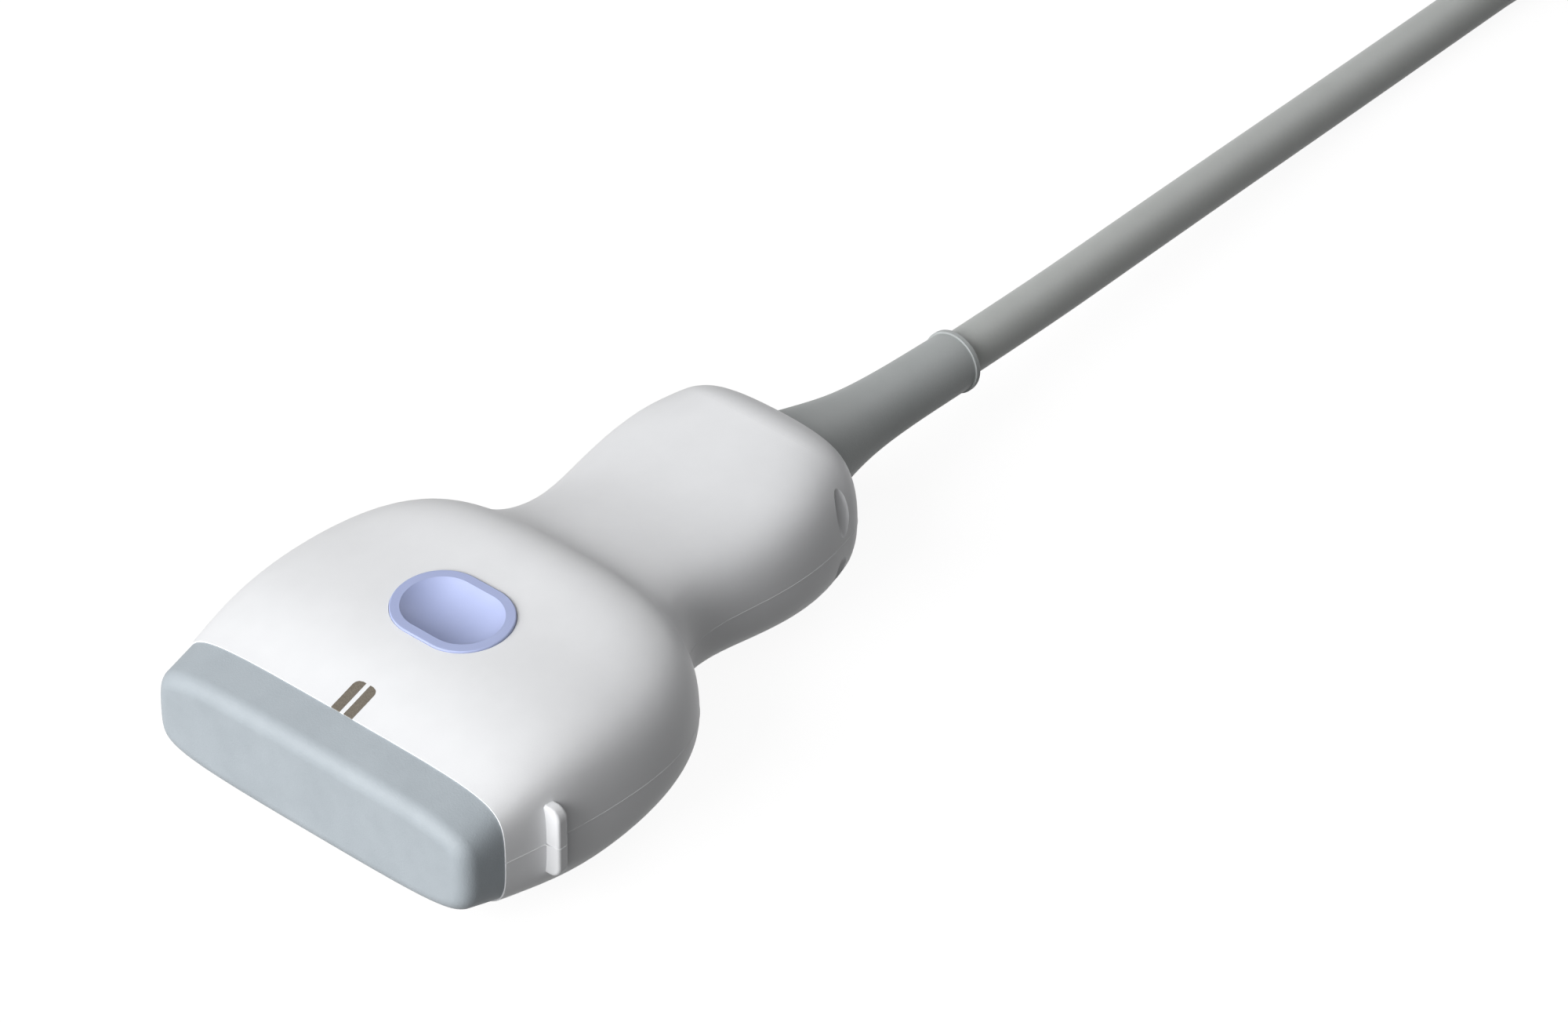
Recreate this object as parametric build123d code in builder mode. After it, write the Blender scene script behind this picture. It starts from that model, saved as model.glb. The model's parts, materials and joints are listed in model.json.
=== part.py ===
from build123d import *
import os
from math import cos, radians, sin, tan

os.makedirs("parts", exist_ok=True)

# A handheld linear ultrasound probe with its cable and the connector at the
# cable's end. +X runs from the acoustic face towards the cable, +Z is up. The
# probe lies on its belly, and the origin is under the middle of its body.

# Housing
body_length = 84.2
head_width = 60.4
crown_height = 14.4
belly_depth = 12.1
wall = 2.4
rear_edge_radius = 6.6
mouth_depth = 4.6
seam_gap = 0.06
tongue_height = 1.0
lap_clearance = 0.06

# Each row of the housing's form: how far back, half width, height over the
# parting plane, depth under it, and how square the oval section is.
station_shares = [
    (0.00, 0.910, 0.635, 0.754, 0.985),
    (0.04, 0.9325, 0.710, 0.820, 0.971),
    (0.08, 0.953, 0.781, 0.887, 0.955),
    (0.16, 0.985, 0.874, 0.985, 0.920),
    (0.24, 1.000, 0.915, 0.9975, 0.885),
    (0.32, 0.992, 0.950, 0.968, 0.840),
    (0.40, 0.938, 0.998, 0.918, 0.780),
    (0.47, 0.796, 0.926, 0.876, 0.750),
    (0.54, 0.572, 0.765, 0.845, 0.740),
    (0.61, 0.526, 0.735, 0.822, 0.745),
    (0.68, 0.545, 0.730, 0.832, 0.760),
    (0.76, 0.577, 0.765, 0.882, 0.777),
    (0.84, 0.582, 0.824, 0.925, 0.790),
    (0.92, 0.549, 0.888, 0.974, 0.742),
    (1.00, 0.516, 0.937, 1.055, 0.655),
]

# Orientation ridge on the side, and the four dimples at the rear
ridge_place = 7.0
ridge_height = 10.7
ridge_rise = 0.45
ridge_width = 1.8
ridge_proud = 1.9
ridge_end_radius = 1.7
ridge_edge_radius = 0.45
dimple_place = 77.2
dimple_spread = 4.9
dimple_drop = 0.6
dimple_inset = 0.6
dimple_depth = 0.8
dimple_radius = 1.6
dimple_length = 11.2
dimple_tilt = 17.0

# Lens cap and the sound stack behind it
lens_depth = 6.6
lens_step = 0.17
lens_front_width_share = 0.979
lens_front_top_share = 0.788
lens_front_bottom_share = 0.742
lens_front_square_share = 0.94
lens_edge_radius = 2.4
lens_face_thickness = 1.4
tongue_wall = 1.6
fit_gap = 0.1
seal_width = 1.4
seal_place = 1.4
seal_groove_depth = 0.8
frame_wall = 1.8
frame_corner_radius = 1.5
flange_thickness = 2.2
flange_step = 0.7
outer_match_thickness = 0.45
inner_match_thickness = 0.4
piezo_thickness = 0.9
element_count = 64
kerf = 0.12
kerf_depth = 0.65
backing_length = 15.6
stack_gap = 0.05
flex_thickness = 0.2
flex_reach = 38.0
flex_tail_width = 14.0
flex_neck_start = 15.0
flex_neck_end = 31.0
spreader_thickness = 1.2
spreader_leg = 14.0
spreader_bend_radius = 2.0

# Boards, their carrier and shields
board_start = 34.0
board_length = 28.0
board_width = 17.0
board_thickness = 1.2
board_corner_radius = 1.0
socket_height = 0.8
socket_width = 5.0
carrier_start = 43.0
carrier_length = 15.0
carrier_width = 15.0
carrier_window = 7.0
ear_place = 51.5
ear_reach = 11.0
ear_radius = 2.1
ear_thickness = 2.0
post_radius = 1.9
post_screw_radius = 0.7
chip_length = 6.0
chip_width = 9.0
chip_height = 0.6
chip_pitch = 9.0
shield_sheet = 0.3
shield_start = 44.0
shield_length = 17.0
shield_top = 6.5
shield_corner = 1.2

# Cable, its clamp and the tapered boot
cable_radius = 3.4
core_radius = 2.4
clamp_inset = 0.5
clamp_length = 7.0
clamp_width = 17.0
clamp_height = 10.6
clamp_gap = 0.4
clamp_seat_width = 12.0
clamp_screw_radius = 1.0
clamp_screw_spacing = 12.0
screw_head_share = 1.9
screw_head_height = 0.9
ferrule_length = 3.0
ferrule_wall = 1.1
fan_end_width = 13.0
fan_end_height = 7.0
boot_length = 35.9
boot_base_radius = 7.75
boot_seat_depth = 0.45
boot_neck_radius = 6.4
boot_flange_radius = 8.5
boot_flange_thickness = 2.2
boot_end_radius = 4.3
boot_lip_radius = 4.6
boot_lip_length = 0.9
boot_lip_edge_radius = 0.35
boot_taper_shares = [(0.16, 0.64), (0.34, 0.28), (0.57, 0.07)]

# Thumb inlay in the crown
inlay_place = 20.25
inlay_span = 17.3
inlay_width = 12.9
inlay_proud = 0.25
inlay_thickness = 2.7
inlay_rim = 1.35
inlay_edge_radius = 0.2
dish_depth = 1.9
pad_floor = 1.4
pad_margin = 1.2
peg_radius = 1.1
peg_spacing = 10.0
peg_stub = 0.6

# The cable's free run, from the clamp to the coil and from the coil to the
# connector, as the points that its bends follow
cable_route = [
    (31.2, 0.0, 12.745),
    (87.2, 0.0, 10.20),
    (133.2, 3.0, 7.1),
    (177.2, 6.0, 3.65),
    (204.2, 6.3, 3.45),
    (226.7, 6.4, 3.42),
    (244.15, -2.75, 3.9),
    (254.7, -19.2, 4.4),
]
tail_route = [
    (288.0, -27.9, 24.8),
    (304.5, -27.6, 24.6),
    (328.0, -22.5, 17.0),
    (352.0, -22.5, 17.0),
]
route_bend_share = 0.45
coil_centre = (280.7, 9.0)
coil_mean_radius = 33.5
coil_columns = 2
coil_layers = 4
coil_edge_radius = 3.2
tie_thickness = 1.0
tie_width = 12.0
tie_gap = 0.05
tie_count = 2
tie_first_angle = 30.0
tie_sweep_angle = 240.0

# Connector
connector_length = 76.0
connector_width = 56.0
connector_height = 34.0
connector_corner_radius = 6.0
connector_edge_radius = 2.0
connector_wall = 2.0
connector_y = -3.0
grip_count = 7
grip_pitch = 4.0
grip_depth = 0.6
grip_width = 1.8
grip_place = 16.0
boss_radius = 3.0
rear_boss_inset = 7.0
rear_boss_spread = 22.0
front_boss_inset = 12.0
front_boss_spread = 42.0
connector_screw_radius = 1.2
connector_head_radius = 2.3
connector_head_depth = 1.6
screw_bite = 5.0
nose_length = 8.0
nose_width = 46.0
nose_height = 20.0
nose_corner_radius = 2.0
nose_flange = 2.0
nose_back = 6.0
pad_columns = 16
pad_rows = 4
pad_pitch = 1.9
pad_row_pitch = 2.6
pad_length = 1.8
pad_breadth = 1.2
pad_thickness = 0.15
connector_board_length = 50.0
connector_board_width = 34.0
connector_board_drop = 7.0
board_rail_spread = 28.0
board_rail_width = 2.0
solder_shift = 7.0
connector_boot_length = 15.0
connector_boot_radius = 4.8
connector_boot_end_radius = 4.3
connector_boot_flange = 6.0
connector_boot_groove = 0.7
connector_boot_groove_count = 3
shaft_radius = 3.0
running_gap = 0.03
bush_radius = 5.0
bush_flange_radius = 6.4
bush_flange_thickness = 1.2
bush_length = 5.0
shaft_tip = 3.0
pilot_radius = 2.0
pilot_length = 4.0
pilot_chamfer = 0.3
key_thickness = 2.0
key_length = 13.0
key_width = 4.0
handle_length = 24.0
handle_width = 9.0
handle_depth = 10.5
handle_hub_radius = 5.2
handle_gap = 0.4
handle_edge_radius = 1.6
handle_pin_radius = 0.8
clip_radius = 5.0
clip_thickness = 0.8

# Every cut runs this far past the surface that it opens.
overrun = 1.0

# Reference planes. Distances along the probe are measured from the joint
# between lens cap and housing, and heights from the parting plane.
joint_x = (lens_depth - body_length) / 2
parting_z = belly_depth


def cross_plane(distance):
    # Across the probe, facing the cable: local x is +Y, local y is up.
    return Plane(origin=(joint_x + distance, 0, parting_z), x_dir=(0, 1, 0), z_dir=(1, 0, 0))


def level_plane(height):
    # Parallel to the parting plane: local x is the distance behind the joint.
    return Plane(origin=(joint_x, 0, parting_z + height), x_dir=(1, 0, 0), z_dir=(0, 0, 1))


def side_plane(reach):
    # Upright along the probe, facing -Y.
    return Plane(origin=(joint_x, -reach, parting_z), x_dir=(1, 0, 0), z_dir=(0, -1, 0))


def form_at(distance):
    # Half width, top and bottom of the housing at a distance behind the joint.
    share = distance / body_length
    for near, far in zip(station_shares, station_shares[1:]):
        if share <= far[0]:
            break
    blend = (share - near[0]) / (far[0] - near[0])
    width, top, bottom = (near[i] + (far[i] - near[i]) * blend for i in (1, 2, 3))
    return width * head_width / 2, top * crown_height, bottom * belly_depth


def oval_section(distance, half_width, top, bottom, square):
    # A closed oval of four quarter curves. The nearer square is to 1, the
    # fuller its corners.
    shoulder = square * half_width
    with BuildSketch(cross_plane(distance)) as section:
        with BuildLine():
            Bezier((half_width, 0), (half_width, square * top), (shoulder, top), (0, top))
            Bezier((0, top), (-shoulder, top), (-half_width, square * top), (-half_width, 0))
            Bezier((-half_width, 0), (-half_width, -square * bottom), (-shoulder, -bottom), (0, -bottom))
            Bezier((0, -bottom), (shoulder, -bottom), (half_width, -square * bottom), (half_width, 0))
        make_face()
    return section.sketch.face()


def housing_sections(inset):
    # The housing's stations, each drawn in by the same amount.
    sections = []
    for place, width, top, bottom, square in station_shares:
        distance = min(place * body_length, body_length - inset)
        sections.append(
            oval_section(
                distance,
                width * head_width / 2 - inset,
                top * crown_height - inset,
                bottom * belly_depth - inset,
                square,
            )
        )
    return sections


def housing_form(inset):
    with BuildPart() as form:
        loft(sections=housing_sections(inset))
        fillet(form.faces().sort_by(Axis.X)[-1].edges(), radius=rear_edge_radius - inset)
    return form.part


# The joint's oval, which lens, mouth and seal share
joint_half_width, joint_top, joint_bottom = form_at(0)
joint_square = station_shares[0][-1]


def joint_section(distance, inset):
    return oval_section(
        distance, joint_half_width - inset, joint_top - inset, joint_bottom - inset, joint_square
    )


# The cable's axis leaves the rear face tipped a little downwards.
cable_start = Vector(*cable_route[0])
cable_direction = (Vector(*cable_route[1]) - cable_start).normalized()
cable_inside = (joint_x + body_length - cable_start.X) / cable_direction.X
cable_origin = cable_start + cable_direction * cable_inside
cable_axis = Axis(cable_origin, cable_direction)
cable_profile_plane = Plane(origin=cable_origin, x_dir=cable_direction, z_dir=(0, -1, 0))
clamp_place = cable_inside - clamp_inset


def cable_cross_plane(behind):
    # Square to the cable, a distance inside the rear face: local y is up.
    return Plane(
        origin=cable_origin - cable_direction * behind, x_dir=(0, 1, 0), z_dir=cable_direction
    )


# The inlay's plane touches the crown at the inlay's middle.
inlay_top = form_at(inlay_place)[1]
inlay_rise = form_at(inlay_place + inlay_width / 2)[1] - form_at(inlay_place - inlay_width / 2)[1]
inlay_plane = Plane(
    origin=(joint_x + inlay_place, 0, parting_z + inlay_top),
    x_dir=(inlay_width, 0, inlay_rise),
    z_dir=(-inlay_rise, 0, inlay_width),
)

# Sizes of the sound stack, from the lens pocket outwards
pocket_inset = wall + fit_gap + tongue_wall
frame_inset = pocket_inset + fit_gap
window_width = 2 * (joint_half_width - frame_inset - frame_wall)
window_height = 2 * (joint_bottom - frame_inset - frame_wall)
stack_width = window_width - 2 * stack_gap
stack_height = window_height - 2 * (stack_gap + flex_thickness)
stack_front = lens_face_thickness - lens_depth
piezo_front = stack_front + outer_match_thickness + inner_match_thickness
flex_front = piezo_front + piezo_thickness
backing_front = flex_front + flex_thickness
backing_rear = backing_front + backing_length
flange_front = mouth_depth + fit_gap
rib_front = flange_front + flange_thickness + fit_gap
rib_thickness = 1.5
board_height = stack_height / 2 + flex_thickness + socket_height
board_outer = board_height + board_thickness


def seal_band():
    # From the mouth's wall to the floor of the tongue's groove
    with BuildPart() as band:
        extrude(to_extrude=joint_section(seal_place, wall), amount=seal_width)
        extrude(
            to_extrude=joint_section(seal_place, wall + fit_gap + seal_groove_depth),
            amount=seal_width,
            mode=Mode.SUBTRACT,
        )
    return band.part


# The acoustic lens cap is one rubber moulding: the face, the side walls that
# stand a small step inside the housing's lip, and a tongue that slides into it.
with BuildPart() as acoustic_lens:
    loft(
        sections=[
            oval_section(
                -lens_depth,
                lens_front_width_share * joint_half_width,
                lens_front_top_share * joint_top,
                lens_front_bottom_share * joint_bottom,
                lens_front_square_share,
            ),
            joint_section(0, lens_step),
        ]
    )
    fillet(acoustic_lens.faces().sort_by(Axis.X)[0].edges(), radius=lens_edge_radius)
    extrude(to_extrude=joint_section(0, wall + fit_gap), amount=mouth_depth)
    extrude(
        to_extrude=joint_section(stack_front, pocket_inset),
        amount=mouth_depth - stack_front + overrun,
        mode=Mode.SUBTRACT,
    )
    add(seal_band(), mode=Mode.SUBTRACT)
acoustic_lens.part.label = "acoustic_lens"
export_step(acoustic_lens.part, "parts/acoustic_lens.step")

# Rubber ring in the tongue's groove, which seals the cap to the housing
with BuildPart() as joint_seal:
    add(seal_band())
joint_seal.part.label = "joint_seal"
export_step(joint_seal.part, "parts/joint_seal.step")

# Two matching layers behind the lens face
match_layers = (
    ("outer_matching_layer", stack_front, outer_match_thickness),
    ("inner_matching_layer", stack_front + outer_match_thickness, inner_match_thickness),
)
for label, front, thickness in match_layers:
    with BuildPart() as matching_layer:
        with BuildSketch(cross_plane(front)):
            Rectangle(stack_width, stack_height)
        extrude(amount=thickness)
    matching_layer.part.label = label
    export_step(matching_layer.part, f"parts/{label}.step")

# The piezo bar is diced into elements from its front and stays whole behind.
element_pitch = stack_width / element_count
with BuildPart() as piezo_array:
    with BuildSketch(cross_plane(piezo_front)):
        Rectangle(stack_width, stack_height)
    extrude(amount=piezo_thickness)
    with BuildSketch(cross_plane(piezo_front)):
        with GridLocations(element_pitch, 0, element_count - 1, 1):
            Rectangle(kerf, stack_height + overrun)
    extrude(amount=kerf_depth, mode=Mode.SUBTRACT)
piezo_array.part.label = "piezo_array"
export_step(piezo_array.part, "parts/piezo_array.step")

# Damping block behind the elements
with BuildPart() as backing_block:
    with BuildSketch(cross_plane(backing_front)):
        Rectangle(stack_width, stack_height)
    extrude(amount=backing_length)
    chamfer(
        backing_block.faces().sort_by(Axis.X)[-1].edges().filter_by(Axis.Z), length=frame_wall / 2
    )
backing_block.part.label = "backing_block"
export_step(backing_block.part, "parts/backing_block.step")

# The frame holds the stack inside the lens cap. Its flange is trapped between
# the mouth and the shells' ribs.
with BuildPart() as array_frame:
    extrude(
        to_extrude=joint_section(piezo_front, frame_inset), amount=flange_front - piezo_front
    )
    extrude(to_extrude=joint_section(flange_front, wall - flange_step), amount=flange_thickness)
    with BuildSketch(cross_plane(piezo_front)):
        Rectangle(window_width, window_height)
    extrude(amount=rib_front - piezo_front, mode=Mode.SUBTRACT)
array_frame.part.label = "array_frame"
export_step(array_frame.part, "parts/array_frame.step")

# Folded aluminium heat spreader: a back plate on the block and two side legs
spreader_reach = stack_width / 2
with BuildPart() as heat_spreader:
    with BuildSketch(level_plane(-stack_height / 2)) as spreader_outline:
        with Locations((backing_rear + spreader_leg / 2, 0)):
            Rectangle(spreader_leg, 2 * spreader_reach)
        fillet(
            spreader_outline.vertices().group_by(Axis.X)[0], radius=spreader_bend_radius
        )
        with Locations((backing_rear + spreader_thickness + spreader_leg / 2, 0)):
            Rectangle(
                spreader_leg, 2 * (spreader_reach - spreader_thickness), mode=Mode.SUBTRACT
            )
    extrude(amount=stack_height)
heat_spreader.part.label = "heat_spreader"
export_step(heat_spreader.part, "parts/heat_spreader.step")

# Flex circuits run from behind the elements along the block to the boards,
# and narrow to pass the neck.
for label, side in (("upper_flex_circuit", 1), ("lower_flex_circuit", -1)):
    near = side * stack_height / 2
    far = side * (stack_height / 2 + flex_thickness)
    with BuildPart() as flex_circuit:
        with BuildSketch(side_plane(-stack_width / 2)):
            with BuildLine():
                Polyline(
                    (flex_front, side * stack_gap),
                    (flex_front, far),
                    (flex_reach, far),
                    (flex_reach, near),
                    (backing_front, near),
                    (backing_front, side * stack_gap),
                    close=True,
                )
            make_face()
        extrude(amount=stack_width)
        with BuildSketch(level_plane(-crown_height)):
            with BuildLine():
                Polyline(
                    (flex_front, stack_width / 2),
                    (flex_neck_start, stack_width / 2),
                    (flex_neck_end, flex_tail_width / 2),
                    (flex_reach, flex_tail_width / 2),
                    (flex_reach, -flex_tail_width / 2),
                    (flex_neck_end, -flex_tail_width / 2),
                    (flex_neck_start, -stack_width / 2),
                    (flex_front, -stack_width / 2),
                    close=True,
                )
            make_face()
        extrude(amount=2 * crown_height, mode=Mode.INTERSECT)
    flex_circuit.part.label = label
    export_step(flex_circuit.part, f"parts/{label}.step")

# Each board takes its flex in a low socket and stands on the carrier.
board_middle = board_start + board_length / 2
for layer, side in (("upper", 1), ("lower", -1)):
    with BuildPart() as flex_socket:
        with BuildSketch(level_plane(side * (stack_height / 2 + flex_thickness))):
            with Locations((flex_reach - socket_width / 2, 0)):
                Rectangle(socket_width, flex_tail_width)
        extrude(amount=side * socket_height)
    flex_socket.part.label = f"{layer}_flex_socket"
    export_step(flex_socket.part, f"parts/{layer}_flex_socket.step")

    with BuildPart() as board:
        with BuildSketch(level_plane(side * board_height)):
            with Locations((board_middle, 0)):
                RectangleRounded(board_length, board_width, board_corner_radius)
        extrude(amount=side * board_thickness)
    board.part.label = f"{layer}_board"
    export_step(board.part, f"parts/{layer}_board.step")

    # The shield is a folded sheet over the board, with cut-off corners.
    shield_reach = board_width / 2 + shield_sheet + fit_gap
    sheet_points = (
        (shield_reach, side * board_height),
        (shield_reach, side * (shield_top - shield_corner)),
        (shield_reach - shield_corner, side * shield_top),
        (-shield_reach + shield_corner, side * shield_top),
        (-shield_reach, side * (shield_top - shield_corner)),
        (-shield_reach, side * board_height),
    )
    with BuildPart() as board_shield:
        with BuildSketch(cross_plane(shield_start)):
            with BuildLine() as sheet_line:
                Polyline(*sheet_points)
                offset(amount=-shield_sheet, side=Side.LEFT if side > 0 else Side.RIGHT)
            make_face()
        extrude(amount=shield_length)
    board_shield.part.label = f"{layer}_board_shield"
    export_step(board_shield.part, f"parts/{layer}_board_shield.step")

# Chips on the outer faces of both boards
with BuildPart() as board_chips:
    for side in (1, -1):
        with BuildSketch(level_plane(side * board_outer)):
            with Locations((shield_start + shield_length / 2, 0)):
                with GridLocations(chip_pitch, 0, 2, 1):
                    Rectangle(chip_length, chip_width)
        extrude(amount=side * chip_height)
board_chips.part.label = "board_chips"
export_step(board_chips.part, "parts/board_chips.step")

# The carrier keeps the boards apart and is screwed to posts in the belly.
with BuildPart() as board_carrier:
    with BuildSketch(level_plane(-board_height)):
        with Locations((carrier_start + carrier_length / 2, 0)):
            Rectangle(carrier_length, carrier_width)
            Rectangle(carrier_window, carrier_window, mode=Mode.SUBTRACT)
    extrude(amount=2 * board_height)
    with BuildSketch(level_plane(-ear_thickness / 2)):
        with Locations((ear_place, 0)):
            SlotCenterToCenter(2 * ear_reach, 2 * ear_radius, rotation=90)
            Rectangle(2 * carrier_window / 2, carrier_window, mode=Mode.SUBTRACT)
            with Locations((0, ear_reach), (0, -ear_reach)):
                Circle(post_screw_radius, mode=Mode.SUBTRACT)
    extrude(amount=ear_thickness)
board_carrier.part.label = "board_carrier"
export_step(board_carrier.part, "parts/board_carrier.step")

with BuildPart() as carrier_screws:
    with BuildSketch(level_plane(ear_thickness / 2)):
        with Locations((ear_place, ear_reach), (ear_place, -ear_reach)):
            Circle(post_screw_radius * screw_head_share)
    extrude(amount=screw_head_height)
    with BuildSketch(level_plane(ear_thickness / 2)):
        with Locations((ear_place, ear_reach), (ear_place, -ear_reach)):
            Circle(post_screw_radius)
    extrude(amount=-ear_thickness - screw_bite / 2)
carrier_screws.part.label = "carrier_screws"
export_step(carrier_screws.part, "parts/carrier_screws.step")

# The cable's core comes out of the jacket through a crimped ferrule and fans
# out flat between the boards.
fan_end = board_start + board_length - chip_height
core_front = cable_inside + ferrule_length
with BuildPart() as cable_core:
    with BuildSketch(cable_cross_plane(cable_inside)):
        Circle(core_radius)
    extrude(amount=-ferrule_length)
    with BuildSketch(cable_cross_plane(core_front)) as core_end:
        Circle(core_radius)
    with BuildSketch(cross_plane(fan_end)) as fan_mouth:
        RectangleRounded(fan_end_width, fan_end_height, board_corner_radius)
    loft(sections=[core_end.sketch.face(), fan_mouth.sketch.face()])
cable_core.part.label = "cable_core"
export_step(cable_core.part, "parts/cable_core.step")

with BuildPart() as shield_ferrule:
    with BuildSketch(cable_cross_plane(cable_inside)):
        Circle(core_radius + ferrule_wall)
        Circle(core_radius, mode=Mode.SUBTRACT)
    extrude(amount=-ferrule_length)
shield_ferrule.part.label = "shield_ferrule"
export_step(shield_ferrule.part, "parts/shield_ferrule.step")

# Two clamp halves grip the jacket between pads of the shells.
clamp_half_height = (clamp_height - clamp_gap) / 2
clamp_screw_places = ((clamp_screw_spacing / 2, 0), (-clamp_screw_spacing / 2, 0))
for layer, side in (("upper", 1), ("lower", -1)):
    with BuildPart() as clamp_half:
        with BuildSketch(cable_cross_plane(clamp_place)):
            with Locations((0, side * (clamp_gap + clamp_half_height) / 2)):
                Rectangle(clamp_width, clamp_half_height)
            Circle(cable_radius, mode=Mode.SUBTRACT)
        extrude(amount=clamp_length)
        clamp_middle = cable_cross_plane(clamp_place - clamp_length / 2)
        with BuildSketch(
            Plane(origin=clamp_middle.origin, x_dir=(0, 1, 0), z_dir=clamp_middle.y_dir)
        ):
            with Locations(*clamp_screw_places):
                Circle(clamp_screw_radius)
        extrude(amount=clamp_height, both=True, mode=Mode.SUBTRACT)
    clamp_half.part.label = f"{layer}_cable_clamp"
    export_step(clamp_half.part, f"parts/{layer}_cable_clamp.step")

clamp_top_plane = Plane(
    origin=clamp_middle.origin + clamp_middle.y_dir * clamp_height / 2,
    x_dir=(0, 1, 0),
    z_dir=clamp_middle.y_dir,
)
with BuildPart() as clamp_screws:
    with BuildSketch(clamp_top_plane):
        with Locations(*clamp_screw_places):
            Circle(clamp_screw_radius * screw_head_share)
    extrude(amount=screw_head_height)
    with BuildSketch(clamp_top_plane):
        with Locations(*clamp_screw_places):
            Circle(clamp_screw_radius)
    extrude(amount=-clamp_height)
clamp_screws.part.label = "clamp_screws"
export_step(clamp_screws.part, "parts/clamp_screws.step")

# The boot: a hidden flange behind the rear wall, a neck through it and a
# hollow-curved taper that ends in a small rounded lip.
taper_drop = boot_base_radius - boot_end_radius
with BuildPart() as boot:
    with BuildSketch(cable_profile_plane):
        with BuildLine():
            flange_back = -wall - fit_gap - boot_flange_thickness
            lip_start = boot_length - boot_lip_length
            Polyline(
                (flange_back, cable_radius),
                (flange_back, boot_flange_radius),
                (-wall - fit_gap, boot_flange_radius),
                (-wall - fit_gap, boot_neck_radius),
                (-boot_seat_depth, boot_neck_radius),
                (-boot_seat_depth, boot_base_radius),
                (0, boot_base_radius),
            )
            Spline(
                (0, boot_base_radius),
                *[
                    (along * boot_length, boot_end_radius + height * taper_drop)
                    for along, height in boot_taper_shares
                ],
                (lip_start, boot_end_radius),
            )
            Polyline(
                (lip_start, boot_end_radius),
                (lip_start, boot_lip_radius),
                (boot_length, boot_lip_radius),
                (boot_length, cable_radius),
                (flange_back, cable_radius),
            )
        make_face()
    revolve(axis=cable_axis)
    lip_end = boot.faces().filter_by(GeomType.PLANE).sort_by(Axis.X)[-1]
    fillet(lip_end.edges().sort_by(SortBy.RADIUS)[-1], radius=boot_lip_edge_radius)
boot.part.label = "boot"
export_step(boot.part, "parts/boot.step")

# Cutter for the dish in the thumb inlay: a round bar across the probe with
# ball ends, sunk so far that its outline on the rim is a stadium
dish_half_width = inlay_width / 2 - inlay_rim
dish_radius = (dish_half_width**2 + dish_depth**2) / (2 * dish_depth)
dish_length = inlay_span - inlay_width
with BuildPart(inlay_plane.offset(inlay_proud + dish_radius - dish_depth)) as dish:
    Cylinder(dish_radius, dish_length, rotation=(90, 0, 0))
    with Locations((0, dish_length / 2, 0), (0, -dish_length / 2, 0)):
        Sphere(dish_radius)

# Thumb inlay: a stadium with a flat rim, a dished middle and two pegs
with BuildPart() as thumb_inlay:
    with BuildSketch(inlay_plane.offset(inlay_proud)):
        SlotOverall(inlay_span, inlay_width, rotation=90)
    extrude(amount=-inlay_thickness)
    fillet(thumb_inlay.faces().sort_by(Axis.Z)[-1].edges(), radius=inlay_edge_radius)
    add(dish.part, mode=Mode.SUBTRACT)
    with BuildSketch(inlay_plane.offset(inlay_proud - inlay_thickness)):
        with GridLocations(0, peg_spacing, 1, 2):
            Circle(peg_radius)
    extrude(amount=-pad_floor - peg_stub)
thumb_inlay.part.label = "thumb_inlay"
export_step(thumb_inlay.part, "parts/thumb_inlay.step")

# The hollow of the two shells together. What they carry inside is left
# standing in it: ribs, posts, clamp pads and the floor under the inlay.
with BuildPart() as hollow:
    add(housing_form(wall))
    split(bisect_by=cross_plane(mouth_depth), keep=Keep.TOP)
    extrude(to_extrude=joint_section(-overrun, wall), amount=mouth_depth + overrun)
    with BuildSketch(cross_plane(rib_front)):
        Rectangle(2 * head_width, 2 * head_width)
        Rectangle(window_width, window_height, mode=Mode.SUBTRACT)
    extrude(amount=rib_thickness, mode=Mode.SUBTRACT)
    for side in (1, -1):
        with BuildSketch(level_plane(side * (ear_thickness / 2 + (screw_head_height if side > 0 else 0)))):
            with Locations((ear_place, ear_reach), (ear_place, -ear_reach)):
                Circle(post_radius)
        extrude(amount=side * crown_height, mode=Mode.SUBTRACT)
        with BuildSketch(cable_cross_plane(clamp_place)):
            with Locations((0, side * (clamp_height / 2 + crown_height / 2))):
                Rectangle(clamp_seat_width - 2 * clamp_screw_radius * screw_head_share, crown_height)
        extrude(amount=clamp_length, mode=Mode.SUBTRACT)
    with BuildSketch(inlay_plane.offset(inlay_proud - inlay_thickness - pad_floor)):
        SlotOverall(inlay_span + 2 * pad_margin, inlay_width + 2 * pad_margin, rotation=90)
    extrude(amount=crown_height, mode=Mode.SUBTRACT)

# The ridge stands on the side, rounded at its two ends and along its edges.
ridge_reach = wall / 2 + ridge_proud
ridge_middle = form_at(ridge_place)[0] + ridge_proud - ridge_reach / 2
with BuildPart() as ridge:
    with BuildSketch(cross_plane(ridge_place - ridge_width / 2)) as ridge_profile:
        with Locations((-ridge_middle, ridge_rise)):
            Rectangle(ridge_reach, ridge_height)
        fillet(ridge_profile.vertices().sort_by(Axis.X)[:2], radius=ridge_end_radius)
    extrude(amount=ridge_width)
    front_face, back_face = ridge.faces().filter_by(Axis.X)
    ridge_edges = front_face.edges().sort_by(Axis.Y)[:-1] + back_face.edges().sort_by(Axis.Y)[:-1]
    fillet(ridge_edges, radius=ridge_edge_radius)

# Cutter for one dimple, an upright spindle that is pointed at both ends
with BuildPart() as dimple:
    with BuildSketch(Plane.XZ):
        with BuildLine():
            spindle = ThreePointArc((0, -dimple_length / 2), (dimple_radius, 0), (0, dimple_length / 2))
            Line(spindle @ 1, spindle @ 0)
        make_face()
    revolve(axis=Axis.Z)

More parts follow.
